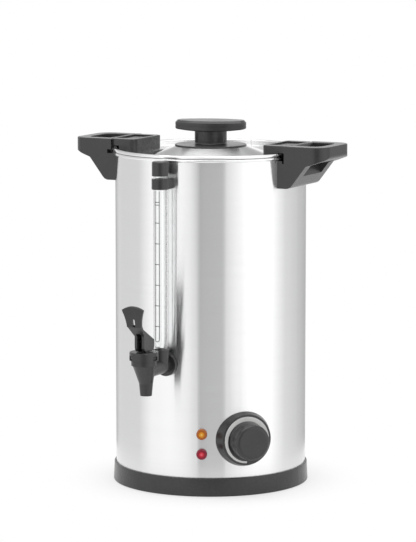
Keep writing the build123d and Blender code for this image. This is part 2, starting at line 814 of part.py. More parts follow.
# Lamp bodies behind the lenses, each with two blade terminals
with BuildPart() as lamp_bodies:
    for lamp in (amber, red):
        rod(lamp, lens_stem_radius, lamp_back, shell_radius - lens_stem_length)
        for side in (-1, 1):
            blade_end = lamp_back - lamp_blade_length
            with Locations(shifted(lamp, across=side * lamp_blade_spacing / 2, out=blade_end)):
                Box(lamp_blade_thickness, lamp_blade_width, lamp_blade_length, align=BASE)
lamp_bodies.part.label = "lamp_bodies"
export_step(lamp_bodies.part, "parts/lamp_bodies.step")

# Push nuts that hold the lamps against the wall
with BuildPart() as lamp_nuts:
    for lamp in (amber, red):
        rod(lamp, lamp_nut_radius, lamp_nut_face - lamp_nut_thickness, lamp_nut_face)
        rod(lamp, lens_stem_radius + running_fit, 0, shell_radius, Mode.SUBTRACT)
lamp_nuts.part.label = "lamp_nuts"
export_step(lamp_nuts.part, "parts/lamp_nuts.step")

# Thermal cut-out that stops the boiler when it runs dry
with BuildPart() as cutout_body:
    with Locations((*cutout_place, plate_top)):
        Box(cutout_width, cutout_depth, cutout_height, align=BASE)
    rod(cutout, button_radius + running_fit, plate_top, button_top + button_travel + fit, Mode.SUBTRACT)
cutout_body.part.label = "cutout_body"
export_step(cutout_body.part, "parts/cutout_body.step")

# Reset button, reached from below through the bottom plate
with BuildPart() as reset_button:
    rod(cutout, button_radius, plate_bottom - button_proud, button_top)
    fillet(reset_button.faces().sort_by(Axis.Z)[0].edges(), button_round)
reset_button.part.label = "reset_button"
export_step(reset_button.part, "parts/reset_button.step")

# Mains inlet gland: a flange that sits on the wall, a domed nose and a threaded shank
with BuildPart() as cable_gland:
    rod(gland, gland_flange_radius, sqrt(shell_radius**2 - gland_flange_radius**2), gland_shoulder)
    with Locations((0, 0, gland_height)):
        Cylinder(shell_radius + running_fit, 4 * gland_flange_radius, mode=Mode.SUBTRACT)
    rod(gland, gland_dome_radius, gland_shoulder, shell_radius + gland_rise)
    fillet(cable_gland.faces().sort_by(Axis.Y)[-1].edges(), gland_round)
    rod(gland, gland_thread_radius, shell_inner - gland_inside, gland_shoulder)
    rod(gland, gland_bore_radius, 0, shell_radius + gland_rise, Mode.SUBTRACT)
    rod(gland, gland_inner_radius, 0, gland_shoulder, Mode.SUBTRACT)
cable_gland.part.label = "cable_gland"
export_step(cable_gland.part, "parts/cable_gland.step")

with BuildPart() as gland_nut:
    with BuildSketch(gland.offset(gland_nut_face - gland_nut_thickness)):
        RegularPolygon(gland_nut_radius, 6)
        Circle(gland_thread_radius + running_fit, mode=Mode.SUBTRACT)
    extrude(amount=gland_nut_thickness)
gland_nut.part.label = "gland_nut"
export_step(gland_nut.part, "parts/gland_nut.step")

# Terminal block on the bottom plate
with BuildPart() as terminal_block:
    with Locations((*terminal_place, plate_top)):
        Box(terminal_length, terminal_width, terminal_height, align=BASE)
    with BuildSketch(Plane.XY.offset(terminal_top)):
        with Locations(terminal_place):
            with GridLocations(terminal_pitch, terminal_pitch, terminal_ways, 1):
                Circle(terminal_screw_radius)
    extrude(amount=-terminal_hole_depth, mode=Mode.SUBTRACT)
terminal_block.part.label = "terminal_block"
export_step(terminal_block.part, "parts/terminal_block.step")

# Leads inside the base: mains to the thermostat and cut-out, and on to the element's pins
with BuildPart() as internal_wires:
    for route in wire_routes:
        with BuildLine() as lead:
            FilletPolyline(*route, radius=wire_bend)
        with BuildSketch(Plane(lead.line @ 0, z_dir=lead.line % 0)):
            Circle(wire_radius)
        sweep(path=lead.line)
internal_wires.part.label = "internal_wires"
export_step(internal_wires.part, "parts/internal_wires.step")

# Tap body: a shank through the wall, the gauge's collar, the valve head and a leaning spout
with BuildPart() as tap_body:
    rod(tap, shank_radius, shell_inner - shank_inside, tap_axis)
    rod(tap, shank_flange_radius, gasket_face, flange_face)
    rod(gauge_column, tube_radius + collar_wall, tap_height, collar_top)
    rod(tap_column, tap_head_radius, head_top - tap_head_depth, head_top)
    with BuildSketch(tap_column.offset(head_top - tap_head_depth)):
        Circle(tap_cone_radius)
    with BuildSketch(spout_column.offset(spout_neck)):
        Circle(spout_neck_radius)
    loft()
    with BuildSketch(spout_column.offset(spout_neck)):
        Circle(spout_neck_radius)
    with BuildSketch(spout_column.offset(spout_foot)):
        Circle(spout_radius)
    loft()
    for facing in bayonet_planes:
        with Locations(Plane((0, -tap_axis, window_level), x_dir=facing.x_dir, z_dir=facing.z_dir)):
            Box(
                bayonet_width - 2 * bayonet_play,
                bayonet_height - 2 * bayonet_play,
                bonnet_radius - bayonet_play,
                align=BASE,
            )
    rod(tap, shank_bore_radius, 0, tap_axis, Mode.SUBTRACT)
    rod(tap_column, head_bore_radius, head_top - tap_head_depth, head_top, Mode.SUBTRACT)
    rod(tap_column, valve_bore_radius, seat_height, head_top, Mode.SUBTRACT)
    with BuildSketch(tap_column.offset(seat_height)):
        Circle(seat_bore_radius)
    with BuildSketch(spout_column.offset(spout_neck)):
        Circle(spout_bore_radius)
    loft(mode=Mode.SUBTRACT)
    rod(spout_column, spout_bore_radius, spout_foot, spout_neck, Mode.SUBTRACT)
    rod(gauge_column, tube_radius + fit, socket_floor, collar_top, Mode.SUBTRACT)
    rod(gauge_column, passage_radius, tap_height, socket_floor, Mode.SUBTRACT)
tap_body.part.label = "tap_body"
export_step(tap_body.part, "parts/tap_body.step")

# Rubber gasket between the tap's flange and the round wall
with BuildPart() as tap_gasket:
    rod(tap, shank_flange_radius, gasket_back, gasket_face)
    with Locations((0, 0, tap_height)):
        Cylinder(shell_radius + running_fit, 4 * shank_flange_radius, mode=Mode.SUBTRACT)
    rod(tap, shank_radius + running_fit, 0, tap_axis, Mode.SUBTRACT)
tap_gasket.part.label = "tap_gasket"
export_step(tap_gasket.part, "parts/tap_gasket.step")

# Rubber gasket between the wall and the nut inside the tank
with BuildPart() as tank_gasket:
    rod(tap, tank_gasket_radius, tank_gasket_face, shell_inner)
    with Locations((0, 0, tap_height)):
        Cylinder(shell_inner - running_fit, 4 * tank_gasket_radius, mode=Mode.INTERSECT)
    rod(tap, shank_radius + running_fit, 0, tap_axis, Mode.SUBTRACT)
tank_gasket.part.label = "tank_gasket"
export_step(tank_gasket.part, "parts/tank_gasket.step")

with BuildPart() as shank_nut:
    with BuildSketch(tap.offset(tank_gasket_face - shank_nut_thickness)):
        RegularPolygon(shank_nut_radius, 6)
        Circle(shank_radius + running_fit, mode=Mode.SUBTRACT)
    extrude(amount=shank_nut_thickness)
shank_nut.part.label = "shank_nut"
export_step(shank_nut.part, "parts/shank_nut.step")

# Bonnet that locks on the tap's head by three bayonet lugs
with BuildPart() as bonnet:
    rod(tap_column, bonnet_radius, bonnet_foot, bonnet_top)
    fillet(bonnet.faces().sort_by(Axis.Z)[-1].edges(), bonnet_round)
    rod(tap_column, tap_head_radius + fit, bonnet_foot, head_top, Mode.SUBTRACT)
    rod(tap_column, stem_radius + running_fit, bonnet_foot, bonnet_top, Mode.SUBTRACT)
    for facing in bayonet_planes:
        with Locations(Plane((0, -tap_axis, window_level), x_dir=facing.x_dir, z_dir=facing.z_dir)):
            Box(bayonet_width, bayonet_height, 2 * bonnet_radius, align=BASE, mode=Mode.SUBTRACT)
bonnet.part.label = "bonnet"
export_step(bonnet.part, "parts/bonnet.step")

# Valve stem with the flange that the spring presses and an eye for the lever's pin
with BuildPart() as stem:
    rod(tap_column, stem_radius, cup_foot + cup_web, pin_level + stem_eye)
    fillet(stem.faces().sort_by(Axis.Z)[-1].edges(), stem_round)
    rod(tap_column, cup_radius, cup_top, spring_foot)
    rod(pin_line, pin_radius + running_fit, -bonnet_radius, bonnet_radius, Mode.SUBTRACT)
stem.part.label = "stem"
export_step(stem.part, "parts/stem.step")

# Rubber cup that closes the valve seat
with BuildPart() as seat_cup:
    rod(tap_column, cup_radius, cup_foot, cup_top)
    rod(tap_column, stem_radius + running_fit, cup_foot + cup_web, cup_top, Mode.SUBTRACT)
seat_cup.part.label = "seat_cup"
export_step(seat_cup.part, "parts/seat_cup.step")


def helix_point(turns):
    """A point on the spring's centre line after a number of turns."""
    angle = 2 * pi * turns
    rise = spring_start + spring_pitch * turns
    return Vector(spring_radius * cos(angle), spring_radius * sin(angle) - tap_axis, rise)


def helix_tangent(turns):
    """The direction of the spring's centre line after a number of turns."""
    angle = 2 * pi * turns
    along = Vector(-spring_radius * sin(angle), spring_radius * cos(angle), spring_pitch / (2 * pi))
    return along.normalized()


# Return spring between the stem's flange and the bonnet, wound as pairs of arcs in quarter turns
with BuildPart() as return_spring:
    with BuildLine() as coil:
        for quarter in range(4 * spring_turns):
            begin = helix_point(quarter / 4)
            end = helix_point((quarter + 1) / 4)
            leave = helix_tangent(quarter / 4)
            arrive = helix_tangent((quarter + 1) / 4)
            span = end - begin
            both = leave + arrive
            square = 4 - both.dot(both)
            across = span.dot(both)
            reach = (-across + sqrt(across**2 + square * span.dot(span))) / square
            middle = (begin + leave * reach + end - arrive * reach) / 2
            TangentArc(begin, middle, tangent=leave)
            TangentArc(middle, end, tangent=(end - arrive * reach) - (begin + leave * reach))
    with BuildSketch(Plane(coil.line @ 0, z_dir=coil.line % 0)):
        Circle(spring_wire_radius)
    sweep(path=coil.line)
return_spring.part.label = "return_spring"
export_step(return_spring.part, "parts/return_spring.step")
print("least gap between the spring's turns", round(spring_pitch - 2 * spring_wire_radius, 2))

# Tap lever: a forked foot over the stem and a fan-shaped paddle
with BuildPart() as lever:
    with BuildSketch(lever_side):
        with BuildLine():
            FilletPolyline(
                (-cheek_back, cheek_gap),
                (cheek_front, cheek_gap),
                (cheek_front, neck_height),
                (paddle_foot_out + paddle_thickness, paddle_foot_height),
                (paddle_foot_out, paddle_foot_height),
                (-cheek_back, cheek_back_height),
                radius=(cheek_round, cheek_round, 2 * edge_round, 0, 0, edge_round),
                close=True,
            )
        make_face()
    extrude(amount=fork_width / 2, both=True)
    with BuildSketch(neck_plane):
        with BuildLine():
            Polyline(
                (-fork_width / 2, 0),
                (fork_width / 2, 0),
                (paddle_foot_width / 2, neck_length),
                (-paddle_foot_width / 2, neck_length),
                close=True,
            )
        make_face()
    extrude(amount=-roof_thickness)
    with BuildSketch(lever_side):
        with BuildLine():
            Polyline(
                (-2 * cheek_back, roof_line(-2 * cheek_back)),
                (neck_slot_end, roof_line(neck_slot_end)),
                (2 * cheek_front, -cheek_back),
                (-2 * cheek_back, -cheek_back),
                close=True,
            )
        make_face()
    extrude(amount=fork_gap / 2, both=True, mode=Mode.SUBTRACT)
    with BuildSketch(paddle_plane):
        with BuildLine():
            Line((-paddle_foot_width / 2, -paddle_heel), (paddle_foot_width / 2, -paddle_heel))
            ThreePointArc(
                (paddle_foot_width / 2, -paddle_heel),
                (paddle_middle_width / 2 - paddle_waist, (paddle_shoulder - paddle_heel) / 2),
                (paddle_top_width / 2, paddle_shoulder),
            )
            ThreePointArc(
                (paddle_top_width / 2, paddle_shoulder),
                (0, paddle_length),
                (-paddle_top_width / 2, paddle_shoulder),
            )
            ThreePointArc(
                (-paddle_top_width / 2, paddle_shoulder),
                (-paddle_middle_width / 2 + paddle_waist, (paddle_shoulder - paddle_heel) / 2),
                (-paddle_foot_width / 2, -paddle_heel),
            )
        make_face()
    extrude(amount=paddle_thickness)
    with BuildSketch(paddle_plane):
        with Locations((0, paddle_slot_rise)):
            SlotOverall(paddle_slot_length, paddle_slot_width, rotation=90)
    extrude(amount=paddle_thickness, mode=Mode.SUBTRACT)
    rod(pin_line, pin_radius + running_fit, -fork_width, fork_width, Mode.SUBTRACT)
lever.part.label = "lever"
export_step(lever.part, "parts/lever.step")

with BuildPart() as lever_pin:
    rod(pin_line, pin_radius, -fork_width / 2, fork_width / 2)
lever_pin.part.label = "lever_pin"
export_step(lever_pin.part, "parts/lever_pin.step")

# Sight gauge: a seal in the tap's collar, the clear tube, its cap and the clip that steadies it
with BuildPart() as tube_seal:
    rod(gauge_column, tube_radius, socket_floor, tube_foot)
    rod(gauge_column, passage_radius, socket_floor, tube_foot, Mode.SUBTRACT)
tube_seal.part.label = "tube_seal"
export_step(tube_seal.part, "parts/tube_seal.step")

with BuildPart() as sight_tube:
    rod(gauge_column, tube_radius, tube_foot, tube_top)
    rod(gauge_column, tube_radius - tube_wall, tube_foot, tube_top, Mode.SUBTRACT)
sight_tube.part.label = "sight_tube"
export_step(sight_tube.part, "parts/sight_tube.step")

with BuildPart() as tube_cap:
    rod(gauge_column, tube_radius + cap_wall, cap_foot, cap_top)
    fillet(tube_cap.faces().sort_by(Axis.Z)[-1].edges(), cap_round)
    rod(gauge_column, tube_radius + running_fit, cap_foot, tube_top, Mode.SUBTRACT)
    rod(gauge_column, vent_radius, tube_top, cap_top, Mode.SUBTRACT)
tube_cap.part.label = "tube_cap"
export_step(tube_cap.part, "parts/tube_cap.step")

with BuildPart() as tube_clip:
    rod(gauge_column, tube_radius + clip_wall, clip_top - clip_height, clip_top)
    with Locations(clip.offset(shell_radius - clip_wall)):
        Box(clip_arm_width, clip_height, gauge_offset, align=BASE)
    with Locations((0, 0, clip_level)):
        Cylinder(shell_radius + running_fit, 4 * clip_height, mode=Mode.SUBTRACT)
    rod(gauge_column, tube_radius + running_fit, clip_top - clip_height, clip_top, Mode.SUBTRACT)
    rod(clip, clip_screw_radius + running_fit, 0, shell_radius + clip_screw_grip + fit, Mode.SUBTRACT)
tube_clip.part.label = "tube_clip"
export_step(tube_clip.part, "parts/tube_clip.step")

with BuildPart() as clip_screw:
    pan_screw(inward_seat(clip), shell_radius + clip_screw_grip - inner_screw_face, clip_screw_radius)
clip_screw.part.label = "clip_screw"
export_step(clip_screw.part, "parts/clip_screw.step")

# Lid: a pan that hangs in the boiler's mouth from a beaded rim, with a raised cone in the middle
with BuildPart() as lid:
    with BuildSketch(Plane.XZ):
        with BuildLine():
            FilletPolyline(
                (knob_screw_radius + running_fit, lid_crown),
                (lid_cone_top, lid_crown),
                (lid_cone_foot, lid_floor),
                (lid_pan, lid_floor),
                (lid_pan, lid_web),
                (lid_bead_circle, lid_web),
                (lid_bead_circle, lid_web - sheet),
                (lid_plug, lid_web - sheet),
                (lid_plug, lid_floor - sheet),
                (lid_cone_foot, lid_floor - sheet),
                (lid_cone_top, lid_crown - sheet),
                (knob_screw_radius + running_fit, lid_crown - sheet),
                radius=(0, lid_bend, lid_bend, sheet, sheet, 0, 0, 0, 2 * sheet, lid_bend, lid_bend, 0),
                close=True,
            )
        make_face()
        with Locations((lid_bead_circle, lid_foot + lid_bead_section)):
            Circle(lid_bead_section)
    revolve(axis=Axis.Z)
    for place in lug_screw_places:
        rod(Plane((*place, 0)), screw_radius + fit, lid_floor - 2 * sheet, lid_floor, Mode.SUBTRACT)
lid.part.label = "lid"
export_step(lid.part, "parts/lid.step")

# Heat shield under the lid's knob
with BuildPart() as knob_flange:
    rod(Plane.XY, flange_radius, lid_crown, flange_top)
    fillet(knob_flange.faces().sort_by(Axis.Z)[-1].edges(), flange_round)
    rod(Plane.XY, knob_screw_radius + running_fit, lid_crown, flange_top, Mode.SUBTRACT)
knob_flange.part.label = "knob_flange"
export_step(knob_flange.part, "parts/knob_flange.step")

# Lid knob: a grip bar that swells in the middle, on a round stem with a flared foot
with BuildPart() as lid_knob:
    with BuildSketch(knob_bar_plane.offset(knob_bar_foot - knob_bar_sag)) as bar_outline:
        with BuildLine():
            for side in (1, -1):
                ThreePointArc(
                    (-side * knob_bar_half, -side * knob_bar_end_width / 2),
                    (0, -side * knob_bar_width / 2),
                    (side * knob_bar_half, -side * knob_bar_end_width / 2),
                )
                ThreePointArc(
                    (side * knob_bar_half, -side * knob_bar_end_width / 2),
                    (side * knob_bar_length / 2, 0),
                    (side * knob_bar_half, side * knob_bar_end_width / 2),
                )
        make_face()
    extrude(amount=knob_bar_height + knob_bar_sag)
    fillet(lid_knob.edges().filter_by(Axis.Z), knob_bar_corner)
    chamfer(lid_knob.faces().sort_by(Axis.Z)[-1].edges(), knob_bar_chamfer)
    with BuildSketch(knob_bar_side):
        with BuildLine():
            ThreePointArc((-knob_bar_length, knob_bar_rise), (0, knob_bar_foot), (knob_bar_length, knob_bar_rise))
            Line((knob_bar_length, knob_bar_rise), (knob_bar_length, flange_top))
            Line((knob_bar_length, flange_top), (-knob_bar_length, flange_top))
            Line((-knob_bar_length, flange_top), (-knob_bar_length, knob_bar_rise))
        make_face()
    extrude(amount=knob_bar_width, both=True, mode=Mode.SUBTRACT)
    fillet(lid_knob.faces().sort_by(Axis.Z)[0].edges(), knob_bar_underside)
    with BuildSketch(knob_bar_plane.offset(knob_groove_level)):
        offset(bar_outline.sketch_local, amount=knob_groove_depth)
        offset(bar_outline.sketch_local, amount=-knob_groove_depth, mode=Mode.SUBTRACT)
    extrude(amount=knob_groove_width, mode=Mode.SUBTRACT)
    with BuildSketch(Plane.XZ):
        with BuildLine():
            Line((0, flange_top), (knob_stem_foot, flange_top))
            TangentArc(
                (knob_stem_foot, flange_top),
                (knob_stem_radius, knob_stem_waist),
                tangent=(-1, 0),
            )
            Line((knob_stem_radius, knob_stem_waist), (knob_stem_radius, knob_bar_middle))
            Line((knob_stem_radius, knob_bar_middle), (0, knob_bar_middle))
            Line((0, knob_bar_middle), (0, flange_top))
        make_face()
    revolve(axis=Axis.Z)
    rod(Plane.XY, knob_screw_radius + running_fit, flange_top, knob_screw_end + fit, Mode.SUBTRACT)
lid_knob.part.label = "lid_knob"
export_step(lid_knob.part, "parts/lid_knob.step")

# Screw from under the lid, on which the lid and its knob turn
with BuildPart() as knob_screw:
    rod(Plane.XY, knob_screw_radius, knob_screw_seat, knob_screw_end)
    rod(Plane.XY, knob_screw_head_radius, knob_screw_seat - knob_screw_head_height, knob_screw_seat)
knob_screw.part.label = "knob_screw"
export_step(knob_screw.part, "parts/knob_screw.step")

# Lid lug: a block on the lid that fills the gap in front of a handle
with BuildPart() as lid_lug_right:
    with BuildSketch(Plane.XY.offset(lid_floor)):
        with Locations((lug_start, 0)):
            Rectangle(lug_radius, 2 * lug_half_width, align=(Align.MIN, Align.CENTER))
    extrude(amount=grip_top - lid_floor)
    fillet(lid_lug_right.edges().filter_by(Axis.Z).sort_by(Axis.X)[:2], lug_corner)
    with Locations((0, 0, lid_floor)):
        Cylinder(lug_radius, grip_rise + lid_recess + lid_top, align=BASE, mode=Mode.INTERSECT)
    fillet(lid_lug_right.faces().sort_by(Axis.Z)[-1].edges(), edge_round)
    with BuildSketch(Plane.XY.offset(lid_floor)):
        Circle(2 * lug_radius)
        Circle(lug_plug, mode=Mode.SUBTRACT)
    extrude(amount=lid_top + lug_bead_gap - lid_floor, mode=Mode.SUBTRACT)
    with BuildSketch(Plane.XY.offset(grip_top)):
        with Locations((lug_recess_middle, 0)):
            recess_length = lug_recess_end - lug_recess_start
            RectangleRounded(recess_length, 2 * lug_recess_half_width, lug_recess_corner)
    extrude(amount=-lug_recess_depth, mode=Mode.SUBTRACT)
    for place in lug_screw_places[:2]:
        seat = Plane((*place, lid_floor))
        rod(seat, screw_radius + running_fit, 0, screw_grip + fit, Mode.SUBTRACT)
lid_lug_right.part.label = "lid_lug_right"
export_step(lid_lug_right.part, "parts/lid_lug_right.step")

with BuildPart() as lid_lug_left:
    mirror(lid_lug_right.part, about=Plane.YZ)
lid_lug_left.part.label = "lid_lug_left"
export_step(lid_lug_left.part, "parts/lid_lug_left.step")

with BuildPart() as lug_screws:
    for place in lug_screw_places:
        pan_screw(Plane((*place, lid_floor - sheet), x_dir=(1, 0, 0), z_dir=(0, 0, -1)), sheet + screw_grip)
lug_screws.part.label = "lug_screws"
export_step(lug_screws.part, "parts/lug_screws.step")

# Room for the fingers in a handle, wider at its top than at its foot
with BuildPart() as finger_room:
    with BuildSketch(Plane.XZ):
        with BuildLine():
            Polyline(
                (finger_top, grip_top),
                (finger_end, grip_top),
                (finger_end, handle_foot),
                (finger_top + finger_lean, handle_foot),
                close=True,
            )
        make_face()
    extrude(amount=finger_half_width, both=True)
    fillet(finger_room.edges().filter_by(Axis.Z), finger_corner)

# Carrying handle: a bracket on the wall with a finger opening through its grip
with BuildPart() as handle_right:
    with BuildSketch(Plane.XZ):
        with BuildLine():
            FilletPolyline(
                (shell_radius - handle_reach, grip_top),
                (handle_end, grip_top),
                (handle_end, grip_top - handle_end_height),
                (handle_knee, grip_top - handle_knee_drop),
                (shell_radius + handle_foot_out, handle_foot),
                (shell_radius - handle_reach, handle_foot),
                radius=(0, 0, handle_end_round, handle_knee_round, handle_foot_round, 0),
                close=True,
            )
        make_face()
    extrude(amount=handle_half_width, both=True)
    with BuildSketch(Plane.XY.offset(handle_foot)):
        RectangleRounded(2 * handle_end, 2 * handle_half_width, handle_corner)
    extrude(amount=handle_foot_drop, mode=Mode.INTERSECT)
    with Locations((0, 0, handle_foot)):
        Cylinder(shell_radius + fit, handle_foot_drop, align=BASE, mode=Mode.SUBTRACT)
    with Locations((0, 0, handle_ledge)):
        Cylinder(handle_back, grip_top - handle_ledge, align=BASE, mode=Mode.SUBTRACT)
    with Locations((handle_nose, -handle_half_width, handle_ledge - rim_slot_drop)):
        Box(2 * rim_slot_width, 2 * rim_slot_depth, rim_slot_height, align=BASE, mode=Mode.SUBTRACT)
    with Locations((handle_nose, handle_half_width, handle_ledge)):
        Box(2 * handle_slot_depth, 2 * rim_slot_depth, handle_slot_height, align=BASE, mode=Mode.SUBTRACT)
    add(finger_room.part, mode=Mode.SUBTRACT)
    fillet(handle_right.faces().sort_by(Axis.Z)[-1].edges(), edge_round)
    for place in handle_screw_planes[:2]:
        rod(place, screw_radius + running_fit, 0, shell_radius + screw_grip + fit, Mode.SUBTRACT)
handle_right.part.label = "handle_right"
export_step(handle_right.part, "parts/handle_right.step")

with BuildPart() as handle_left:
    add(handle_right.part.rotate(Axis.Z, 180))
handle_left.part.label = "handle_left"
export_step(handle_left.part, "parts/handle_left.step")

# Screws from inside the tank that hold the handles
with BuildPart() as handle_screws:
    for place in handle_screw_planes:
        pan_screw(inward_seat(place), shell_radius + screw_grip - inner_screw_face)
handle_screws.part.label = "handle_screws"
export_step(handle_screws.part, "parts/handle_screws.step")
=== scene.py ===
import json
from math import cos, pi, radians, sin

import bmesh
import bpy
from mathutils import Matrix, Vector


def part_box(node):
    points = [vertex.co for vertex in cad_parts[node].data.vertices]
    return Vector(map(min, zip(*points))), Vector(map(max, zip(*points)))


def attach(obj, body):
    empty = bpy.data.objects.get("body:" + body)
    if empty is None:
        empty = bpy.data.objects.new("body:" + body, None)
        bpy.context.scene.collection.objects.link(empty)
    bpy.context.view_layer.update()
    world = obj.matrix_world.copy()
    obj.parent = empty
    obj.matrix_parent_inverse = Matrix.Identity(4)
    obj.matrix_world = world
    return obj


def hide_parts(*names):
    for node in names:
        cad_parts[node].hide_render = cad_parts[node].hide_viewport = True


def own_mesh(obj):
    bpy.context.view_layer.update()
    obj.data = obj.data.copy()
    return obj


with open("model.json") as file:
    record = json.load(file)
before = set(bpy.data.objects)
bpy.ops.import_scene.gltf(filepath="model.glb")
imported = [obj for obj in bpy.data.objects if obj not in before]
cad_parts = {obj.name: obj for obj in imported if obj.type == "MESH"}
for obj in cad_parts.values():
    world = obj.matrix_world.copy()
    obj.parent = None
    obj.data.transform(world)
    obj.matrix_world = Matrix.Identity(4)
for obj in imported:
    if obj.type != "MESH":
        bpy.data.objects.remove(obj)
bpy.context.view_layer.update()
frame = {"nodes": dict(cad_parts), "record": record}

# Lengths are in metres and bearings in degrees from the tap's side, -Y, towards +X.

# View of the photograph
view_bearing = 26.5
view_distance = 3.5             # level distance from the boiler's axis
view_offset = -0.0033           # sideways
view_height = 0.7291
view_tilt = 7.72
view_lens = 193.7               # millimetres
view_sensor = 36.0              # millimetres
view_reach = 50.0

# Floor
floor_radius = 0.27
floor_segments = 128
floor_colour = 0.93
floor_unevenness = 0.005
floor_cloud = 6.0               # noise cells per metre
floor_white = (0.67, 1.0)       # share of plain white near the boiler and far from it
floor_fade = (0.118, 0.19)      # distances from the axis between which that share grows

# Lamp
softbox_height = 1.7
softbox_forward = 0.2
softbox_side = 1.6
softbox_power = 14.0

# Studio round the boiler: each stop is a bearing and the brightness of the soft box or flag there
studio = [
    (-180, 0.50), (-140, 0.46), (-120, 0.77), (-70, 0.79), (-50, 1.21), (-25, 1.3),
    (-8, 1.2), (2, 1.02), (12, 0.52), (14, 0.31), (16, 0.39), (40, 0.44),
    (43, 0.56), (45, 0.86), (66, 1.33), (80, 1.5), (102, 1.5), (119, 1.05),
    (122, 1.0), (126, 0.88), (138, 0.8), (160, 0.66), (180, 0.50),
]
studio_fill = 0.72              # light from all round on the matt surfaces
studio_ceiling = 1.02           # low over the boiler's front and back
studio_zenith = 0.88            # straight above
studio_ground = 0.95            # floor towards the horizon
studio_floor = 1.35             # floor close by, that undersides mirror
back_wall = 1.02                # white wall behind the boiler, that flat tops mirror

# Where one part of the studio goes over into the next: the rise of a ray, 0 level and 1 straight up
ceiling_rise = (0.55, 0.75)
zenith_rise = (0.72, 0.88)
ground_rise = (-0.14, -0.4)
floor_rise = (-0.4, -0.7)
wall_foot_rise = (-0.04, 0.02)
wall_top_rise = (0.3, 0.2)
wall_side = (0.7, 0.85)         # how nearly a ray points straight away from the camera

# Brushed steel
steel_colour = 0.8
steel_blue = 0.004
steel_roughness = 0.2
brush_fine = (3.0, 4000.0)      # noise cells per radian round the axis and per metre across
brush_broad = (1.0, 300.0)
fine_tone = 0.01
broad_tone = 0.006
fine_roughness = 0.016
brush_depth = 0.00001
seam_edge = (0.012, 0.004)      # radians from the back where the weld begins and where it is full
seam_tone = -0.14
seam_roughness = 0.12

# Other finishes
noise_range = (0.3, 0.7)        # nearly all of a smooth noise lies in it
metal_shades = (0.96, 1.03)
metal_roughness = 0.06          # up and down
metal_depth = 0.00002
metal_cloud = 0.08              # noise cells of the broad mottle for each one of the grain
plastic_shades = (0.9, 1.1)
plastic_cloud = 45.0            # noise cells per metre
plastic_roughness = 0.04        # up and down, by the grain
cloud_roughness = 0.03          # up and down, by the cloud
soft_depth = 0.002              # how deep light goes into pale plastic
clear_ior = 1.49
draw_lines = (1500.0, 1500.0, 12.0)  # noise cells per metre along X, Y and Z
draw_depth = 0.00001
tube_shaded_edge = (0.6, 0.95)         # how edge-on the tube's wall is where painted shade darkens it

# Sight gauge
tube_low, tube_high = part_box("sight_tube")
tube_axis = (tube_low[1] + tube_high[1]) / 2
tube_radius = tube_high[0]
print_lift = 0.00002
print_thickness = 0.00006
line_width = 0.0008
tick_overlap = 0.0006           # tick beyond the outline on each side
line_spacing = 0.0055
scale_foot = 0.188
scale_top = 0.3655
tick_first = 0.2062
tick_step = 0.02435
tick_count = 7
full_mark_drop = 0.0032         # second line below the top tick
foot_mark = 0.1815
foot_segments = 12              # round the outline's foot
tick_segments = 6

# Indicator lamps
lamp_bearing = 21.2
lens_shaded_edge = (0.0022, 0.0042)    # distances from the lens's axis where its own colour goes over into the painted shade of the rim
# distances from the lens's axis where the painted glow of the centre takes over
lens_glow_core = (0.0020, 0.0006)
lens_facets = 900.0             # per metre
facet_depth = 0.0002


def wire(tree, node, inputs):
    """Set each input of a shader node, or link it where the value is another node's output."""
    for socket, value in inputs.items():
        if isinstance(value, bpy.types.NodeSocket):
            tree.links.new(value, node.inputs[socket])
        else:
            node.inputs[socket].default_value = value


def add(tree, kind, inputs=None, **settings):
    """Add a shader node with its settings and inputs."""
    node = tree.nodes.new(kind)
    for name, value in settings.items():
        setattr(node, name, value)
    wire(tree, node, inputs or {})
    return node


def sums(tree, operation, *values):
    """A Math node's result."""
    return add(tree, "ShaderNodeMath", dict(enumerate(values)), operation=operation).outputs[0]


def vectors(tree, operation, *values, result="Vector"):
    """A Vector Math node's result."""
    return add(tree, "ShaderNodeVectorMath", dict(enumerate(values)), operation=operation).outputs[result]


def span(tree, value, low, high, to_low, to_high, blend="LINEAR"):
    """Map a value from one span to another, held at the ends."""
    inputs = {"Value": value, "From Min": low, "From Max": high, "To Min": to_low, "To Max": to_high}
    return add(tree, "ShaderNodeMapRange", inputs, interpolation_type=blend).outputs[0]


def ease(tree, value, low, high):
    """A share that goes smoothly from 0 to 1 as a value goes from low to high."""
    return span(tree, value, low, high, 0.0, 1.0, "SMOOTHSTEP")


def mixed(tree, share, first, second):
    """A colour between two colours."""
    # A Mix node keeps sockets for each kind of data: 6 and 7 are its two colours, and output 2 is theirs.
    return add(tree, "ShaderNodeMix", {0: share, 6: first, 7: second}, data_type="RGBA").outputs[2]


def noise(tree, vector, scale, detail=2.0):
    """Smooth noise from 0 to 1."""
    inputs = {"Vector": vector, "Scale": scale, "Detail": detail}
    return add(tree, "ShaderNodeTexNoise", inputs).outputs["Fac"]


def spread(tree, value, low, high):
    """Noise brought to a span of values."""
    return span(tree, value, *noise_range, low, high)


def bump(tree, height, distance, strength):
    """A normal bent by a height."""
    inputs = {"Height": height, "Distance": distance, "Strength": strength}
    return add(tree, "ShaderNodeBump", inputs).outputs[0]


def place(tree):
    """A point of the surface in the boiler's own frame, as a vector."""
    return add(tree, "ShaderNodeTexCoord").outputs["Object"]


def rays(tree):
    """1 for the camera's own rays, and 1 for the rays that metal or glass sends on."""
    path = add(tree, "ShaderNodeLightPath").outputs
    return path["Is Camera Ray"], sums(tree, "MAXIMUM", path["Is Glossy Ray"], path["Is Transmission Ray"])


def bearing_of(tree, x, y):
    """The bearing of a point or direction, in radians."""
    return sums(tree, "ARCTAN2", x, sums(tree, "MULTIPLY", y, -1.0))


def grey(level, blue=0.0):
    """A nearly neutral colour."""
    return (level, level, level + blue, 1.0)


def shades(colour, factors):
    """Darker and lighter colours near one colour."""
    return [[min(1.0, channel * factor) for channel in colour] + [1.0] for factor in factors]


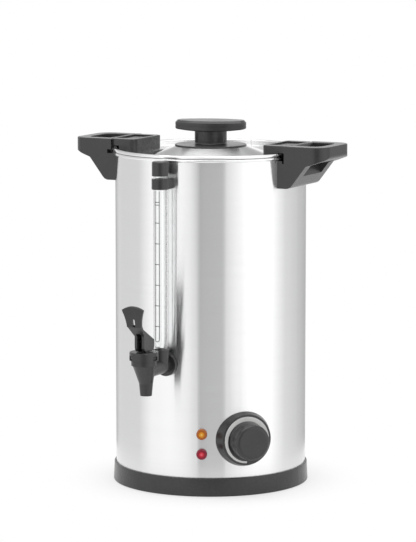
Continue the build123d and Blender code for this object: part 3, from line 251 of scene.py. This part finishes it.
def start(name):
    """A new material with an empty Principled shader."""
    material = bpy.data.materials.new(name)
    material.use_nodes = True
    tree = material.node_tree
    tree.nodes.clear()
    shader = add(tree, "ShaderNodeBsdfPrincipled")
    add(tree, "ShaderNodeOutputMaterial", {"Surface": shader.outputs[0]})
    return material, tree, shader


def brushing(tree, angle, radius, height, cells):
    """Noise drawn out round the boiler's axis."""
    along, across = cells
    inputs = {
        0: sums(tree, "MULTIPLY", angle, along),
        1: sums(tree, "MULTIPLY", radius, across),
        2: sums(tree, "MULTIPLY", height, across),
    }
    return noise(tree, add(tree, "ShaderNodeCombineXYZ", inputs).outputs[0], 1.0)


def round_steel(name):
    """Steel brushed round the boiler's axis, with the wall's welded seam at the back."""
    material, tree, shader = start(name)
    x, y, z = add(tree, "ShaderNodeSeparateXYZ", {0: place(tree)}).outputs
    angle = bearing_of(tree, x, y)
    square = sums(tree, "ADD", sums(tree, "MULTIPLY", x, x), sums(tree, "MULTIPLY", y, y))
    radius = sums(tree, "POWER", square, 0.5)
    fine = brushing(tree, angle, radius, z, brush_fine)
    broad = brushing(tree, angle, radius, z, brush_broad)
    seam = ease(tree, sums(tree, "ABSOLUTE", angle), pi - seam_edge[0], pi - seam_edge[1])
    tone = sums(tree, "ADD", spread(tree, fine, -fine_tone, fine_tone),
                spread(tree, broad, -broad_tone, broad_tone))
    tone = sums(tree, "ADD", tone, sums(tree, "MULTIPLY", seam, seam_tone))
    # The tone is a step up or down from the middle of a span of greys that is 1 long.
    dark = grey(steel_colour - 0.5, steel_blue)
    light = grey(steel_colour + 0.5, steel_blue)
    rough = spread(tree, fine, steel_roughness - fine_roughness, steel_roughness + fine_roughness)
    wire(tree, shader, {
        "Base Color": mixed(tree, sums(tree, "ADD", tone, 0.5), dark, light),
        "Metallic": 1.0,
        "Roughness": sums(tree, "ADD", rough, sums(tree, "MULTIPLY", seam, seam_roughness)),
        "Anisotropic": 1.0,
        "Anisotropic Rotation": 0.25,
        "Tangent": add(tree, "ShaderNodeTangent", direction_type="RADIAL", axis="Z").outputs[0],
        "Normal": bump(tree, sums(tree, "ADD", fine, seam), brush_depth, 0.1),
    })
    return material


def plain_metal(name, colour, roughness, grain):
    """Rolled, drawn or plated metal with a faint mottle."""
    material, tree, shader = start(name)
    mottle = noise(tree, place(tree), grain, 3.0)
    cloud = noise(tree, place(tree), grain * metal_cloud)
    wire(tree, shader, {
        "Base Color": mixed(tree, spread(tree, cloud, 0.0, 1.0), *shades(colour, metal_shades)),
        "Metallic": 1.0,
        "Roughness": spread(tree, mottle, roughness - metal_roughness, roughness + metal_roughness),
        "Normal": bump(tree, mottle, metal_depth, 0.3),
    })
    return material


def moulded(name, colour, roughness, grain=0.0004, depth=0.00002, soft=0.0):
    """Moulded plastic or rubber with a fine eroded grain."""
    material, tree, shader = start(name)
    spots = noise(tree, place(tree), 1.0 / grain, 3.0)
    cloud = noise(tree, place(tree), plastic_cloud)
    rough = spread(tree, spots, roughness - plastic_roughness, roughness + plastic_roughness)
    wire(tree, shader, {
        "Base Color": mixed(tree, spread(tree, cloud, 0.0, 1.0), *shades(colour, plastic_shades)),
        "Roughness": sums(tree, "ADD", rough, spread(tree, cloud, -cloud_roughness, cloud_roughness)),
        "Normal": bump(tree, spots, depth, 0.5),
        "Subsurface Weight": soft,
        "Subsurface Radius": (soft_depth, soft_depth, soft_depth),
    })
    return material


def clear_tube(name):
    """Clear drawn tube with faint draw lines along it and painted shade at its edges."""
    material, tree, shader = start(name)
    draw = noise(tree, vectors(tree, "MULTIPLY", place(tree), draw_lines), 1.0)
    clear = mixed(tree, draw, (0.965, 0.975, 0.975, 1.0), grey(1.0))
    # Painted shade: the base colour goes over to grey where the wall is seen edge-on.
    facing = add(tree, "ShaderNodeLayerWeight", {"Blend": 0.5}).outputs["Facing"]
    shaded_edge = span(tree, facing, *tube_shaded_edge, 0.0, 1.0)
    wire(tree, shader, {
        "Base Color": mixed(tree, shaded_edge, clear, (0.4, 0.41, 0.41, 1.0)),
        "Roughness": spread(tree, draw, 0.0, 0.02),
        "IOR": clear_ior,
        "Transmission Weight": 1.0,
        "Normal": bump(tree, draw, draw_depth, 0.005),
    })
    return material


def lens(name, shaded_edge, middle, glow_core):
    """Clear coloured lens of an indicator lamp, with painted shade at its rim and a painted glow at its
    centre.
    """
    material, tree, shader = start(name)
    low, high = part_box(name)
    bearing = radians(lamp_bearing)
    axis = (sin(bearing), -cos(bearing), 0.0)
    offset = vectors(tree, "SUBTRACT", place(tree), (0.0, 0.0, (low[2] + high[2]) / 2))
    radius = vectors(tree, "LENGTH", vectors(tree, "CROSS_PRODUCT", offset, axis), result="Value")
    facets = add(tree, "ShaderNodeTexVoronoi", {"Vector": place(tree), "Scale": lens_facets})
    # The base colour carries painted shade towards the rim and a painted glow at the centre.
    colour = mixed(tree, ease(tree, radius, *lens_shaded_edge), middle, shaded_edge)
    wire(tree, shader, {
        "Base Color": mixed(tree, ease(tree, radius, *lens_glow_core), colour, glow_core),
        "Roughness": 0.08,
        "IOR": clear_ior,
        "Transmission Weight": 0.15,
        "Normal": bump(tree, facets.outputs["Distance"], facet_depth, 0.3),
    })
    return material


def floor_material(name):
    """Plain pale floor with a hardly visible unevenness, that keeps the boiler's shadow."""
    material, tree, shader = start(name)
    cloud = noise(tree, place(tree), floor_cloud)
    dark = grey(floor_colour - floor_unevenness)
    light = grey(floor_colour + floor_unevenness)
    wire(tree, shader, {
        "Base Color": mixed(tree, cloud, dark, light),
        "Roughness": 0.9,
        "Specular IOR Level": 0.0,
    })
    distance = vectors(tree, "LENGTH", place(tree), result="Value")
    share = span(tree, distance, *floor_fade, *floor_white, "SMOOTHSTEP")
    seen = sums(tree, "MAXIMUM", *rays(tree))
    white = add(tree, "ShaderNodeEmission", {"Color": grey(1.0), "Strength": 1.0})
    blend = add(tree, "ShaderNodeMixShader", {
        0: sums(tree, "MULTIPLY", share, seen),
        1: shader.outputs[0],
        2: white.outputs[0],
    })
    wire(tree, tree.nodes["Material Output"], {"Surface": blend.outputs[0]})
    return material


def studio_world(name):
    """A white background, an even fill, and soft boxes and flags that the steel mirrors."""
    made = bpy.data.worlds.new(name)
    made.use_nodes = True
    tree = made.node_tree
    tree.nodes.clear()
    direction = add(tree, "ShaderNodeTexCoord").outputs["Generated"]
    x, y, rise = add(tree, "ShaderNodeSeparateXYZ", {0: direction}).outputs

    # Soft boxes and flags all round: a ramp's colours stop at 1, so they are held as shares of the brightest.
    ramp = add(tree, "ShaderNodeValToRGB", {0: span(tree, bearing_of(tree, x, y), -pi, pi, 0.0, 1.0)})
    brightest = max(level for degrees, level in studio)
    stops = ramp.color_ramp.elements
    while len(stops) < len(studio):
        stops.new(0.5)
    for stop, (degrees, level) in zip(stops, studio):
        stop.position = degrees / 360 + 0.5
        stop.color = grey(level / brightest)
    mirrored = sums(tree, "MULTIPLY", ramp.outputs[0], brightest)

    # Ceiling, ground and back wall
    overhead = mixed(tree, ease(tree, rise, *zenith_rise), grey(studio_ceiling), grey(studio_zenith))
    mirrored = mixed(tree, ease(tree, rise, *ceiling_rise), mirrored, overhead)
    mirrored = mixed(tree, ease(tree, rise, *ground_rise), mirrored, grey(studio_ground))
    mirrored = mixed(tree, ease(tree, rise, *floor_rise), mirrored, grey(studio_floor))
    turn = radians(view_bearing)
    away = sums(tree, "ADD", sums(tree, "MULTIPLY", x, -sin(turn)), sums(tree, "MULTIPLY", y, cos(turn)))
    wall = sums(tree, "MULTIPLY", ease(tree, rise, *wall_foot_rise), ease(tree, rise, *wall_top_rise))
    wall = sums(tree, "MULTIPLY", wall, ease(tree, away, *wall_side))
    mirrored = mixed(tree, wall, mirrored, grey(back_wall))

    camera_rays, mirror_rays = rays(tree)
    shown = mixed(tree, mirror_rays, grey(studio_fill), mirrored)
    shown = mixed(tree, camera_rays, shown, grey(1.0))
    background = add(tree, "ShaderNodeBackground", {"Color": shown, "Strength": 1.0})
    add(tree, "ShaderNodeOutputWorld", {"Surface": background.outputs[0]})
    return made


def piece(name, mesh, material, body):
    """A new piece of the boiler that moves with one of its bodies."""
    made = bpy.data.objects.new(name, mesh)
    bpy.context.scene.collection.objects.link(made)
    mesh.materials.append(material)
    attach(made, body)
    return made


def on_tube(along, height, lift):
    """A point over the front of the gauge's tube, from its unrolled place."""
    radius = tube_radius + lift
    angle = along / tube_radius
    return Vector((radius * sin(angle), tube_axis - radius * cos(angle), height))


def ribbon(form, route, width):
    """A thin closed strip on the tube along an unrolled route."""
    print_top = print_lift + print_thickness
    corners = [(1, print_lift), (-1, print_lift), (-1, print_top), (1, print_top)]
    rings = []
    for i, (along, height) in enumerate(route):
        before = Vector(route[max(i - 1, 0)])
        after = Vector(route[min(i + 1, len(route) - 1)])
        way = (after - before).normalized()
        side = Vector((-way.y, way.x)) * width / 2
        rings.append([
            form.verts.new(on_tube(along + sign * side.x, height + sign * side.y, lift))
            for sign, lift in corners
        ])
    for first, second in zip(rings, rings[1:]):
        for k in range(4):
            form.faces.new([first[k], first[(k + 1) % 4], second[(k + 1) % 4], second[k]])
    form.faces.new(list(reversed(rings[0])))
    form.faces.new(rings[-1])


# Finishes, one for each of the record's material slots
finishes = {
    "brushed_steel": round_steel("brushed_steel"),
    "tank_steel": plain_metal("tank_steel", (0.62, 0.62, 0.61), 0.32, 900.0),
    "fastener_steel": plain_metal("fastener_steel", (0.66, 0.66, 0.67), 0.26, 2500.0),
    "black_plastic": moulded("black_plastic", (0.031, 0.031, 0.032), 0.27),
    "pale_print": moulded("pale_print", (0.78, 0.78, 0.77), 0.5, 0.0003, 0.00001),
    "clear_tube": clear_tube("clear_tube"),
    # Each lens: the middle colour is its own, the rim colour is painted shade and the core colour a painted
    # glow.
    "amber_lens": lens(
        "amber_lens",
        shaded_edge=(0.5, 0.13, 0.008, 1.0),
        middle=(0.95, 0.36, 0.012, 1.0),
        glow_core=(1.0, 0.66, 0.14, 1.0),
    ),
    "red_lens": lens(
        "red_lens",
        shaded_edge=(0.3, 0.005, 0.03, 1.0),
        middle=(0.75, 0.025, 0.055, 1.0),
        glow_core=(1.0, 0.15, 0.2, 1.0),
    ),
    "lamp_plastic": moulded("lamp_plastic", (0.72, 0.72, 0.7), 0.45, soft=0.1),
    "button_red": moulded("button_red", (0.5, 0.03, 0.03), 0.4),
    "wire_sheath": moulded("wire_sheath", (0.25, 0.16, 0.1), 0.5),
    "black_rubber": moulded("black_rubber", (0.022, 0.022, 0.022), 0.68, 0.0006, 0.00003),
    "white_silicone": moulded("white_silicone", (0.72, 0.72, 0.7), 0.5, soft=0.2),
    "heater_aluminium": plain_metal("heater_aluminium", (0.75, 0.75, 0.76), 0.4, 1200.0),
    "sensor_copper": plain_metal("sensor_copper", (0.72, 0.43, 0.25), 0.3, 1500.0),
}
for subpart in frame["record"]["subparts"]:
    mesh = frame["nodes"][subpart["node"]].data
    mesh.materials.clear()
    mesh.materials.append(finishes[subpart["material_slot"]])

# Gauge scale: an outline like a long loop, a tick for each litre and a second line at the full mark
form = bmesh.new()
half = line_spacing / 2
foot_centre = scale_foot + half
loop = [(-half, scale_top)]
for k in range(foot_segments + 1):
    angle = pi * k / foot_segments
    loop.append((-half * cos(angle), foot_centre - half * sin(angle)))
loop.append((half, scale_top))
ribbon(form, loop, line_width)
reach = half + tick_overlap
tick_heights = [tick_first + tick_step * k for k in range(tick_count)]
for height in [foot_mark] + tick_heights + [tick_heights[-1] - full_mark_drop]:
    tick = [(reach * (2 * k / tick_segments - 1), height) for k in range(tick_segments + 1)]
    ribbon(form, tick, line_width)
bmesh.ops.recalc_face_normals(form, faces=form.faces)
scale_mesh = bpy.data.meshes.new("gauge_scale")
form.to_mesh(scale_mesh)
form.free()
gauge_ink = moulded("gauge_ink", (0.04, 0.04, 0.04), 0.5, 0.0002, 0.00001)
piece("gauge_scale", scale_mesh, gauge_ink, "boiler")

# Return spring of the valve: a copy of its part as a piece of its own, held on the boiler
spring_mesh = frame["nodes"]["return_spring"].data.copy()
spring_mesh.materials.clear()
spring = piece("return_spring_coil", spring_mesh, finishes["fastener_steel"], "boiler")
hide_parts("return_spring")
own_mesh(spring)

# Floor
form = bmesh.new()
bmesh.ops.create_circle(form, cap_ends=True, segments=floor_segments, radius=floor_radius)
floor_mesh = bpy.data.meshes.new("floor")
form.to_mesh(floor_mesh)
form.free()
floor_mesh.materials.append(floor_material("pale_floor"))
floor = bpy.data.objects.new("floor", floor_mesh)
bpy.context.scene.collection.objects.link(floor)

# Light
bpy.context.scene.world = studio_world("studio")
softbox = bpy.data.lights.new("softbox", "AREA")
softbox.shape = "SQUARE"
softbox.size = softbox_side
softbox.energy = softbox_power
overhead = bpy.data.objects.new("softbox", softbox)
overhead.location = (0.0, -softbox_forward, softbox_height)
bpy.context.scene.collection.objects.link(overhead)

# Camera
turn = radians(view_bearing)
tilt = radians(view_tilt)
look = Vector((-sin(turn) * cos(tilt), cos(turn) * cos(tilt), -sin(tilt)))
right = Vector((cos(turn), sin(turn), 0.0))
spot = Vector((sin(turn), -cos(turn), 0.0)) * view_distance + right * view_offset
spot.z = view_height
camera_data = bpy.data.cameras.new("camera")
camera_data.lens = view_lens
camera_data.sensor_width = view_sensor
camera_data.clip_end = view_reach
camera = bpy.data.objects.new("camera", camera_data)
camera.matrix_world = Matrix.Translation(spot) @ look.to_track_quat("-Z", "Y").to_matrix().to_4x4()
bpy.context.scene.collection.objects.link(camera)
bpy.context.scene.camera = camera
bpy.context.scene.view_settings.view_transform = "Standard"
